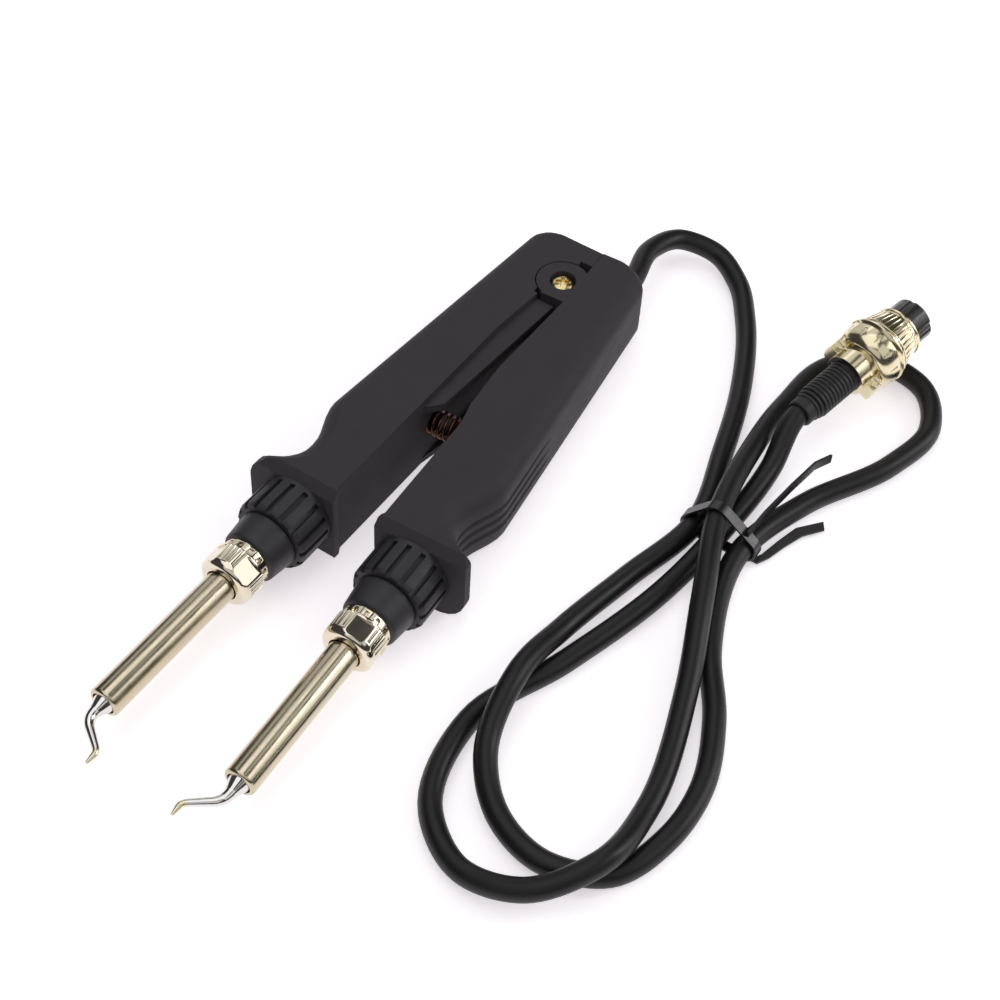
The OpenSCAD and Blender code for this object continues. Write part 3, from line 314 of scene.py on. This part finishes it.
def nickel_plate():
    # Warm, nearly mirror-bright plate that shows the bright and dark sides of the studio
    return plated("nickel_plate", finish().nickel, 0.09, 0.5, 0.002, spread=0.04)


def plug_plate():
    # The same plate on cast parts: a touch yellower and less even
    return plated("plug_nickel_plate", finish().plug, 0.18, 0.5, 0.003, spread=0.05)


def barrel_steel(side):
    # Polished tube with hair lines along its length, turned with the arm that carries it
    return plated("barrel_steel_" + ("right" if side > 0 else "left"), finish().steel, 0.2, 0.25, 0.003,
                  turn=(0, 0, -side * OPEN_HALF), stretch=(1, 0.02, 1), spread=0.06)


def inner_steel():
    # Plain turned steel inside the hinge and round the cord's end
    return plated("turned_steel", finish().steel, 0.3, 0.4, 0.004, spread=0.08)


def tip_plate():
    # The brightest metal here: fresh plate, hardly marked
    return plated("tip_bright_plate", finish().tip, 0.1, 0.6, 0.002, spread=0.03)


def tip_tinning():
    # The working end, dulled and yellowed by old solder and flux
    return plated("tip_tinned_end", finish().tinned, 0.24, 0.3, 0.004, spread=0.08)


def spring_wire():
    # Heat-tinted wire, brown with a coppery shine on each turn
    return plated("spring_tinted_wire", finish().spring, 0.32, 0.4, 0.004, spread=0.2)


def pivot_plate():
    # Pale yellow passivated plate with soft scratches from the driver
    return plated("pivot_yellow_plate", finish().pivot, 0.2, 0.35, 0.004, spread=0.08)


def fastener_zinc():
    # Dull grey zinc on the screws underneath
    return plated("screw_zinc", tinted(finish().tip, 0.75)[:3], 0.35, 0.3, 0.004, spread=0.1)


def contact_brass():
    # Bright brass sockets in the plug's face
    return plated("contact_brass", tinted(finish().pivot, 0.9)[:3], 0.2, 0.3, 0.002, spread=0.05)


def cord_jacket():
    # Satin black jacket: lengthwise sheen, faint scuffs, no print
    return grained("cord_satin_jacket", finish().cord, 0.42, 0.6, 0.01, spread=0.25, patch_mm=12,
                   shine=0.34)


def black_rubber():
    # Matt rubber, a little dusty in patches
    return grained("moulded_rubber", finish().rubber, 0.5, 0.4, 0.02, spread=0.3, patch_mm=4)


def tie_plastic():
    # Smooth flat ribbon over wire, shinier than the cord
    return grained("tie_smooth_plastic", finish().rubber, 0.28, 0.8, 0.01, spread=0.2, patch_mm=6)


def insert_plastic():
    # Glossy black that takes sharp white highlights
    return grained("insert_gloss_plastic", finish().insert, 0.26, 0.8, 0.004, spread=0.2, patch_mm=5,
                   coat=0.3)


def heater_ceramic():
    # Fired off-white ceramic with a chalky surface
    return grained("heater_ceramic", finish().ceramic, 0.6, 0.2, 0.01, spread=0.06, patch_mm=3)


def lead_sleeving():
    # Pale woven sleeving, seen only through the ports
    return grained("lead_sleeving", finish().leads, 0.75, 0.3, 0.05, spread=0.15, patch_mm=1.5)


def studio_floor():
    # Clean white board, lit from below as well so that shadows stay faint
    board = grained("studio_board", finish().floor, 0.7, 2.0, 0.01, spread=0.01, patch_mm=60)
    shader = board.node_tree.nodes["Principled BSDF"]
    shader.inputs["Emission Color"].default_value = tinted(finish().shade, 1)
    shader.inputs["Emission Strength"].default_value = FLOOR_GLOW
    return board


# ---------------------------------------------------------------- modelling helpers

def alone(piece):
    """Makes one object the only selected one."""
    bpy.ops.object.select_all(action="DESELECT")
    piece.select_set(True)
    bpy.context.view_layer.objects.active = piece


def apply_all(piece):
    """Applies a piece's modifiers in order, then puts its place into its mesh."""
    alone(piece)
    for modifier in list(piece.modifiers):
        bpy.ops.object.modifier_apply(modifier=modifier.name)
    bpy.ops.object.transform_apply(location=True, rotation=True, scale=True)


def stands_for(piece, node, *materials, rides=True):
    """Gives a piece its material, and the place of a CAD node in the assembly."""
    piece.data.materials.clear()
    for material in materials:
        piece.data.materials.append(material)
    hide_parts(node)
    if rides:
        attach(piece, BODY_OF[node])
    return piece


def dressed(node, name, edge, material, segments=2):
    """A copy of a CAD node with its corners merged, its flat faces joined and its edges softened."""
    piece = bpy.data.objects.new(name, frame["nodes"][node].data.copy())
    bpy.context.scene.collection.objects.link(piece)
    alone(piece)
    bpy.ops.mesh.customdata_custom_splitnormals_clear()
    bpy.ops.object.mode_set(mode="EDIT")
    bpy.ops.mesh.select_all(action="SELECT")
    bpy.ops.mesh.remove_doubles(threshold=MERGE)
    bpy.ops.mesh.dissolve_limited(angle_limit=FLAT_ANGLE)
    bpy.ops.object.mode_set(mode="OBJECT")
    soft = piece.modifiers.new("soft edges", "BEVEL")
    soft.width = edge
    soft.segments = segments
    soft.limit_method = "ANGLE"
    soft.angle_limit = EDGE_ANGLE
    soft.use_clamp_overlap = True
    soft.miter_outer = "MITER_ARC"
    bpy.ops.object.modifier_apply(modifier=soft.name)
    bpy.ops.object.shade_smooth_by_angle(angle=EDGE_ANGLE)
    even = piece.modifiers.new("even faces", "WEIGHTED_NORMAL")
    even.keep_sharp = True
    bpy.ops.object.modifier_apply(modifier=even.name)
    return stands_for(piece, node, material)


def finished(node, material):
    """Keeps a CAD node as it is and gives it a material."""
    mesh = frame["nodes"][node].data
    mesh.materials.clear()
    mesh.materials.append(material)


def arm_place(place, side):
    """A place on an arm's parting plane, given in millimetres out from and along the arm."""
    turn = Matrix.Rotation(OPEN_HALF, 3, "Z")
    spot = turn @ Vector((place.x * MM, place.y * MM, 0))
    return Vector((spot.x * side, spot.y + PIVOT.y, PIVOT.z))


def bezier_tube(name, stops, depth, steps):
    """A round tube along a Bezier curve. Each stop has a place, its two handles and a share of the depth."""
    curve = bpy.data.curves.new(name, "CURVE")
    curve.dimensions = "3D"
    curve.resolution_u = steps
    curve.bevel_depth = depth
    curve.bevel_resolution = 6
    curve.use_fill_caps = True
    spline = curve.splines.new("BEZIER")
    spline.bezier_points.add(len(stops) - 1)
    for point, (place, before, after, share) in zip(spline.bezier_points, stops):
        point.handle_left_type = point.handle_right_type = "FREE"
        point.co, point.handle_left, point.handle_right = place, before, after
        point.radius = share
    tube = bpy.data.objects.new(name, curve)
    bpy.context.scene.collection.objects.link(tube)
    return tube


# ---------------------------------------------------------------- operators

class TWEEZERS_OT_stage(bpy.types.Operator):
    """Sets the camera at the photo's angle, a pale floor and soft studio lights"""
    bl_idname = "tweezers.stage"
    bl_label = "Stage"

    def execute(self, context):
        scene = context.scene
        turn, height, roll = (math.radians(a) for a in (CAMERA_TURN, CAMERA_HEIGHT, CAMERA_ROLL))
        back = Vector((math.sin(turn) * math.cos(height), -math.cos(turn) * math.cos(height),
                       math.sin(height)))
        level = Vector((math.cos(turn), math.sin(turn), 0))
        upright = back.cross(level)
        right = level * math.cos(roll) + upright * math.sin(roll)
        up = upright * math.cos(roll) - level * math.sin(roll)
        data = bpy.data.cameras.new("photo_camera")
        data.sensor_width = CAMERA_SENSOR
        data.lens = CAMERA_LENS
        data.clip_start = 0.01
        data.clip_end = 20
        camera = bpy.data.objects.new("photo_camera", data)
        scene.collection.objects.link(camera)
        axes = Matrix((right, up, back)).transposed().to_4x4()
        camera.matrix_world = Matrix.Translation(CAMERA_LOOK + back * CAMERA_AWAY) @ axes
        scene.camera = camera

        bpy.ops.object.select_all(action="DESELECT")
        bpy.ops.mesh.primitive_plane_add(size=FLOOR_SIZE, location=(0, 0, CAD_BOX[0].z - FLOOR_GAP))
        floor = context.object
        floor.name = "studio_floor"
        bpy.ops.object.transform_apply(location=True, rotation=True, scale=True)
        floor.data.materials.append(studio_floor())

        world = bpy.data.worlds.new("studio_dim")
        scene.world = world
        world.use_nodes = True
        sky = world.node_tree.nodes["Background"]
        sky.inputs["Color"].default_value = hex_colour(SKY_COLOUR) + (1,)
        sky.inputs["Strength"].default_value = SKY_STRENGTH

        for light in LIGHTS:
            self.softbox(scene, *light)
        scene.view_settings.view_transform = "Standard"
        return {"FINISHED"}

    def softbox(self, scene, name, place, size, watts):
        """Hangs one area light, aimed at the tweezers."""
        data = bpy.data.lights.new(name, "AREA")
        data.shape = "RECTANGLE"
        data.size, data.size_y = size
        data.energy = watts
        light = bpy.data.objects.new(name, data)
        scene.collection.objects.link(light)
        light.location = place
        light.rotation_mode = "QUATERNION"
        light.rotation_quaternion = (LIGHT_AIM - Vector(place)).to_track_quat("-Z", "Y")


class TWEEZERS_OT_cord(bpy.types.Operator):
    """Lays the cord on the table, round its loops and back under the plug"""
    bl_idname = "tweezers.cord"
    bl_label = "Cord"

    def execute(self, context):
        route = [Vector(p) * MM for p in CORD_ROUTE]
        last = len(route) - 1
        reach = [(route[i + 1] - route[i]).length for i in range(last)]
        run = [(route[i + 1] - route[i]) / reach[i] for i in range(last)]
        heading = [Vector((-math.sin(OPEN_HALF), math.cos(OPEN_HALF), 0))]
        heading += [(run[i] * reach[i - 1] + run[i - 1] * reach[i]) / (reach[i - 1] + reach[i])
                    for i in range(1, last)]
        heading += [PLUG_DIR]
        stops = [(spot, spot - heading[i] * reach[max(i - 1, 0)] / 3,
                  spot + heading[i] * reach[min(i, last - 1)] / 3, 1) for i, spot in enumerate(route)]
        jacket = bezier_tube("cord_jacket", stops, sizes().cord_d / 2, steps=10)
        stands_for(jacket, "cord", cord_jacket())
        return {"FINISHED"}


class TWEEZERS_OT_tie(bpy.types.Operator):
    """Softens the tie that holds the cord's loops"""
    bl_idname = "tweezers.tie"
    bl_label = "Tie"

    def execute(self, context):
        dressed("cord_tie", "tie_ribbon", sizes().small_edge, tie_plastic())
        return {"FINISHED"}


class TWEEZERS_OT_shells(bpy.types.Operator):
    """Softens the edges of the four grip shells, so that the seams and corners catch the light"""
    bl_idname = "tweezers.shells"
    bl_label = "Grip shells"

    def execute(self, context):
        for node in ("right_upper_shell", "right_lower_shell", "left_upper_shell", "left_lower_shell"):
            dressed(node, node + "_skin", sizes().shell_edge, shell_plastic())
        return {"FINISHED"}


class TWEEZERS_OT_collars(bpy.types.Operator):
    """Softens the ribbed collars and the tapered sleeves"""
    bl_idname = "tweezers.collars"
    bl_label = "Collars and sleeves"

    def execute(self, context):
        for _, side in SIDES:
            dressed(side + "_collar", side + "_collar_skin", COLLAR_EDGE, collar_plastic())
            dressed(side + "_nipple", side + "_sleeve_skin", sizes().small_edge, sleeve_plastic())
        return {"FINISHED"}


class TWEEZERS_OT_nuts(bpy.types.Operator):
    """Softens the barrel nuts and their lock rings"""
    bl_idname = "tweezers.nuts"
    bl_label = "Nuts and lock rings"

    def execute(self, context):
        for _, side in SIDES:
            dressed(side + "_nut", side + "_nut_skin", NUT_EDGE, nickel_plate())
            dressed(side + "_lock_ring", side + "_lock_ring_skin", LOCK_RING_EDGE, nickel_plate())
        return {"FINISHED"}


class TWEEZERS_OT_barrels(bpy.types.Operator):
    """Softens the two polished barrels"""
    bl_idname = "tweezers.barrels"
    bl_label = "Barrels"

    def execute(self, context):
        for side, word in SIDES:
            dressed(word + "_barrel", word + "_barrel_skin", sizes().barrel_rim, barrel_steel(side),
                    segments=RIM_SEGMENTS)
        return {"FINISHED"}


class TWEEZERS_OT_tips(bpy.types.Operator):
    """Draws the two bent tips as smooth tapered noses"""
    bl_idname = "tweezers.tips"
    bl_label = "Tips"

    def execute(self, context):
        base, neck, foot = sizes().tip_base / 2, sizes().tip_neck / 2, sizes().tip_foot / 2
        first, second = TIP_BENDS
        slant = (second - first).normalized()
        along = Vector((0, -1))
        # Each station has its place in millimetres, the bend that it comes from or goes to, and its radius
        stations = (
            (TIP_START, None, None, base),
            (first - along * 2.4, None, first, neck * 1.35),
            (first + slant * 2.4, first, None, neck),
            (second - slant * 1.4, None, second, neck * 0.8),
            (second + along * 1.1, second, None, foot * 1.3),
            (TIP_END, None, None, foot * 0.62),
        )
        for side, word in SIDES:
            stops = []
            for i, (place, came, goes, radius) in enumerate(stations):
                spot = arm_place(place, side)
                handles = []
                for bend, other in ((came, i - 1), (goes, i + 1)):
                    target = stations[min(max(other, 0), len(stations) - 1)][0] if bend is None else bend
                    share = 1 / 3 if bend is None else 2 / 3
                    handles.append(spot.lerp(arm_place(target, side), share))
                stops.append((spot, *handles, radius))
            alone(bezier_tube(word + "_tip_nose", stops, depth=1, steps=12))
            bpy.ops.object.convert(target="MESH")
            nose = context.object
            bpy.ops.object.mode_set(mode="EDIT")
            bpy.ops.mesh.select_all(action="SELECT")
            bpy.ops.mesh.remove_doubles(threshold=FINE_MERGE)
            bpy.ops.mesh.normals_make_consistent(inside=False)
            bpy.ops.object.mode_set(mode="OBJECT")
            bpy.ops.object.shade_smooth_by_angle(angle=TIP_ANGLE)
            stands_for(nose, word + "_tip", tip_plate(), tip_tinning())
            # The foot, from just before its bend, has the tinned finish
            bend = arm_place(second - slant * 0.6, side)
            toward = arm_place(TIP_END, side) - bend
            for face in nose.data.polygons:
                face.material_index = int((face.center - bend).dot(toward) > 0)
        return {"FINISHED"}


class TWEEZERS_OT_spring(bpy.types.Operator):
    """Winds the return spring between the arms"""
    bl_idname = "tweezers.spring"
    bl_label = "Return spring"

    def execute(self, context):
        low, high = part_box("return_spring")
        wire, turns = sizes().spring_wire, sizes().spring_turns
        middle = (low + high) / 2
        coil = (high.z - low.z - wire) / 2
        length = high.x - low.x - wire
        bpy.ops.object.select_all(action="DESELECT")
        bpy.ops.mesh.primitive_circle_add(
            vertices=WIRE_SIDES, radius=wire / 2, location=(low.x + wire / 2, middle.y, middle.z))
        wound = context.object
        wound.name = "spring_coil"
        bpy.ops.object.mode_set(mode="EDIT")
        bpy.ops.mesh.select_all(action="SELECT")
        bpy.ops.transform.translate(value=(0, coil, 0))
        bpy.ops.object.mode_set(mode="OBJECT")
        screw = wound.modifiers.new("wind", "SCREW")
        screw.axis = "X"
        screw.iterations = turns
        screw.screw_offset = length / turns
        screw.steps = screw.render_steps = TURN_STEPS
        screw.use_merge_vertices = False
        apply_all(wound)
        bpy.ops.object.mode_set(mode="EDIT")
        bpy.ops.mesh.select_all(action="SELECT")
        bpy.ops.mesh.remove_doubles(threshold=FINE_MERGE)
        bpy.ops.mesh.select_all(action="DESELECT")
        bpy.ops.mesh.select_non_manifold()
        bpy.ops.mesh.edge_face_add()
        bpy.ops.mesh.select_all(action="SELECT")
        bpy.ops.mesh.normals_make_consistent(inside=False)
        bpy.ops.object.mode_set(mode="OBJECT")
        bpy.ops.object.shade_smooth_by_angle(angle=WIRE_ANGLE)
        # Each end stays in the pocket of its own arm
        stands_for(wound, "return_spring", spring_wire(), rides=False)
        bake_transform(wound)
        return {"FINISHED"}


class TWEEZERS_OT_pivot(bpy.types.Operator):
    """Softens the pivot screw with its cross recess"""
    bl_idname = "tweezers.pivot"
    bl_label = "Pivot screw"

    def execute(self, context):
        dressed("pivot_screw", "pivot_screw_skin", PIVOT_EDGE, pivot_plate())
        return {"FINISHED"}


class TWEEZERS_OT_plug(bpy.types.Operator):
    bl_idname = "tweezers.plug"
    bl_label = "Plug"

    def execute(self, context):
        edge = sizes().small_edge
        finishes = {
            "plug_boot": black_rubber(), "plug_clamp": plug_plate(), "plug_clamp_screws": plug_plate(),
            "plug_shell": plug_plate(), "coupling_ring": plug_plate(), "plug_insert": insert_plastic(),
        }
        worn = [dressed(node, node + "_skin", edge, material) for node, material in finishes.items()]
        finished("plug_contacts", contact_brass())
        return {"FINISHED"}


class TWEEZERS_OT_inner(bpy.types.Operator):
    """Gives the pieces inside and underneath their finishes"""
    bl_idname = "tweezers.inner"
    bl_label = "Inner pieces"

    def execute(self, context):
        for _, side in SIDES:
            finished(side + "_shell_screws", fastener_zinc())
            finished(side + "_heater", heater_ceramic())
            finished(side + "_leads", lead_sleeving())
        finished("pivot_sleeve", inner_steel())
        finished("pivot_washer", pivot_plate())
        finished("cord_grommet", black_rubber())
        finished("cord_ferrule", inner_steel())
        return {"FINISHED"}


class TWEEZERS_PT_panel(bpy.types.Panel):
    """Lists the steps that dress the tweezers"""
    bl_idname = "TWEEZERS_PT_panel"
    bl_label = "Soldering tweezers"
    bl_space_type = "VIEW_3D"
    bl_region_type = "UI"
    bl_category = "Tweezers"

    def draw(self, context):
        for step in STEPS:
            self.layout.operator(step.bl_idname)
        for group in (context.scene.tweezers_sizes, context.scene.tweezers_finish):
            for name in group.__annotations__:
                self.layout.prop(group, name)


STEPS = (
    TWEEZERS_OT_stage, TWEEZERS_OT_cord, TWEEZERS_OT_tie, TWEEZERS_OT_shells, TWEEZERS_OT_collars,
    TWEEZERS_OT_nuts, TWEEZERS_OT_barrels, TWEEZERS_OT_tips, TWEEZERS_OT_spring, TWEEZERS_OT_pivot,
    TWEEZERS_OT_plug, TWEEZERS_OT_inner,
)
CLASSES = (TweezersFinish, TweezersSizes) + STEPS + (TWEEZERS_PT_panel,)


def register():
    """Adds the classes and the scene's settings."""
    for cls in CLASSES:
        bpy.utils.register_class(cls)
    bpy.types.Scene.tweezers_finish = PointerProperty(type=TweezersFinish)
    bpy.types.Scene.tweezers_sizes = PointerProperty(type=TweezersSizes)


def unregister():
    """Takes the settings and the classes away again."""
    del bpy.types.Scene.tweezers_sizes
    del bpy.types.Scene.tweezers_finish
    for cls in reversed(CLASSES):
        bpy.utils.unregister_class(cls)


def main():
    """Runs every step in order."""
    register()
    for step in STEPS:
        group, name = step.bl_idname.split(".")
        getattr(getattr(bpy.ops, group), name)()


if __name__ == "__main__":
    main()
